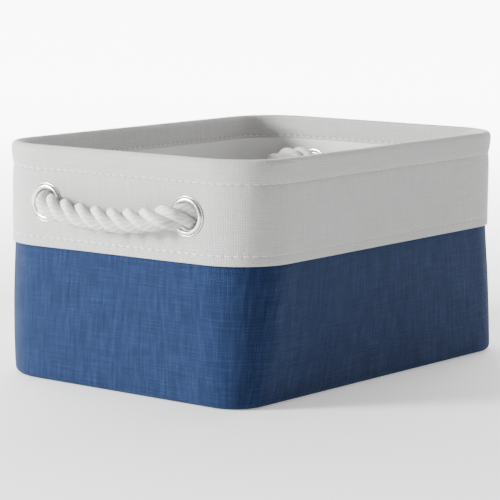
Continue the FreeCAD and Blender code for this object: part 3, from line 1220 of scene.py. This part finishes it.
# %% [markdown]
# The points of a row are spread evenly along the cloth's face. A stitch that floats is plain
# to see, so each point sits exactly on the swept face, at the bottom of its groove. Each point
# also carries the way along the seam and the way out of the cloth, which turn its stitch.

# %% Rows of stitches
def row_points(depth, height, lift):
    """Even points round the bin at a depth and height, with their along and outward ways."""
    ring = place([depth], [height])[:, 0]
    closed = np.vstack([ring, ring[:1]])
    runs = np.r_[0, np.cumsum(np.linalg.norm(np.diff(closed, axis=0), axis=1))]
    count = int(round(runs[-1] / STITCH_PITCH))
    marks = (np.arange(count) + 0.5) / count * runs[-1]
    points = np.stack([np.interp(marks, runs, closed[:, k]) for k in range(3)], -1)
    ahead = np.roll(points, -1, axis=0) - np.roll(points, 1, axis=0)
    ahead /= np.linalg.norm(ahead, axis=1)[:, None]
    outward = np.cross(ahead, (0, 0, 1)) * lift
    return points, ahead, outward


def stitch_row(name, depth, height, lift, seed):
    """Row of stitches on one face of the band."""
    points, ahead, outward = row_points(depth, height, lift)
    mesh = bpy.data.meshes.new(name)
    mesh.from_pydata([tuple(p) for p in points], [], [])
    for label, values in (("along", ahead), ("outward", outward)):
        layer = mesh.attributes.new(label, "FLOAT_VECTOR", "POINT")
        layer.data.foreach_set("vector", values.astype(np.float32).ravel())
    row = bpy.data.objects.new(name, mesh)
    bpy.context.scene.collection.objects.link(row)
    nodes = row.modifiers.new("stitches", "NODES")
    nodes.node_group = row_group
    for item in row_group.interface.items_tree:
        if item.name == "Seed":
            nodes[item.identifier] = seed
        if item.name == "Thread":
            nodes[item.identifier] = thread_cotton
    bpy.context.view_layer.update()
    graph = bpy.context.evaluated_depsgraph_get()
    fresh = bpy.data.meshes.new_from_object(row.evaluated_get(graph))
    row.modifiers.clear()
    row.data = fresh
    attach(row, "rim")
    print(name, len(points), "stitches", len(fresh.polygons), "faces")


inner_leg = wire_depth + roll + half_cloth
stitch_row("hem_stitches", 0.6 * GROOVE, hem_z, 1, 3)
stitch_row("casing_stitches", 2 * GROOVE, stitch_z, 1, 5)
stitch_row("casing_inside_stitches", inner_leg - 0.8 * GROOVE, stitch_z, -1, 8)

# %% [markdown]
# ## Stage
# A pale floor that glows towards its back, an even white sky and one soft light behind the
# left end, so that the short end is bright and the long side falls into shade.

# %% Floor, lights and camera
SWEEP_START = 1.6
SWEEP_RADIUS = 1.2
SWEEP_HALF_WIDTH = 5.0


def sweep_profile():
    """Flat floor, a quarter turn and a wall, as (distance behind the bin, height)."""
    flat = [(x, 0.0) for x in np.linspace(-6, SWEEP_START, 20)]
    curl = []
    for t in np.linspace(0.1, math.pi / 2, 16):
        curl.append((SWEEP_START + SWEEP_RADIUS * math.sin(t), SWEEP_RADIUS * (1 - math.cos(t))))
    return flat + curl + [(SWEEP_START + SWEEP_RADIUS, 3.0)]


floor_points, floor_faces = [], []
for back, height in sweep_profile():
    floor_points += [(-SWEEP_HALF_WIDTH, back, height), (SWEEP_HALF_WIDTH, back, height)]
for k in range(len(floor_points) // 2 - 1):
    floor_faces.append((2 * k, 2 * k + 1, 2 * k + 3, 2 * k + 2))
floor_mesh = bpy.data.meshes.new("floor")
floor_mesh.from_pydata(floor_points, [], floor_faces)
floor_mesh.shade_smooth()
floor = bpy.data.objects.new("floor", floor_mesh)
bpy.context.scene.collection.objects.link(floor)
floor.location.z = -0.1 * MM
floor.rotation_euler = (0, 0, math.radians(-54.8))
white, white_tree, white_shader = new_material("floor_white")
settle(white_shader, Base_Color=(0.88, 0.88, 0.88, 1), Roughness=0.9, Emission_Color=(1, 1, 1, 1))
spot = white_tree.nodes.new("ShaderNodeSeparateXYZ")
white_tree.links.new(place_coordinates(white_tree), spot.inputs[0])
far = times(white_tree, minus(white_tree, spot.outputs["Y"], 0.25), 0.6, clamp=True)
glow = plus(white_tree, 0.35, times(white_tree, far, 7.0))
white_tree.links.new(glow, white_shader.inputs["Emission Strength"])
floor_mesh.materials.append(white)

world = bpy.data.worlds.new("studio")
bpy.context.scene.world = world
world.use_nodes = True
world.node_tree.nodes["Background"].inputs["Color"].default_value = (1, 1, 1, 1)
world.node_tree.nodes["Background"].inputs["Strength"].default_value = 0.35

light_data = bpy.data.lights.new("key_light", "AREA")
light_data.shape = "DISK"
light_data.size = 0.6
light_data.energy = 122
lamp = bpy.data.objects.new("key_light", light_data)
bpy.context.scene.collection.objects.link(lamp)
lamp.location = (-1.56, 1.10, 0.68)
aim = Vector((0, 0, 0.08)) - lamp.location
lamp.rotation_euler = aim.to_track_quat("-Z", "Y").to_euler()

camera_data = bpy.data.cameras.new("camera")
camera = bpy.data.objects.new("camera", camera_data)
bpy.context.scene.collection.objects.link(camera)
bpy.context.scene.camera = camera
camera_data.lens = 168.2
camera_data.sensor_width = 36
camera_data.clip_end = 50
camera.location = (-1.2424, -0.8764, 0.2858)
look = Vector((0.80732, 0.57376, -0.13797))
aim = look.to_track_quat("-Z", "Y").to_matrix().to_4x4()
roll = Matrix.Rotation(math.radians(0.69), 4, "Z")
camera.matrix_world = Matrix.Translation(camera.location) @ aim @ roll
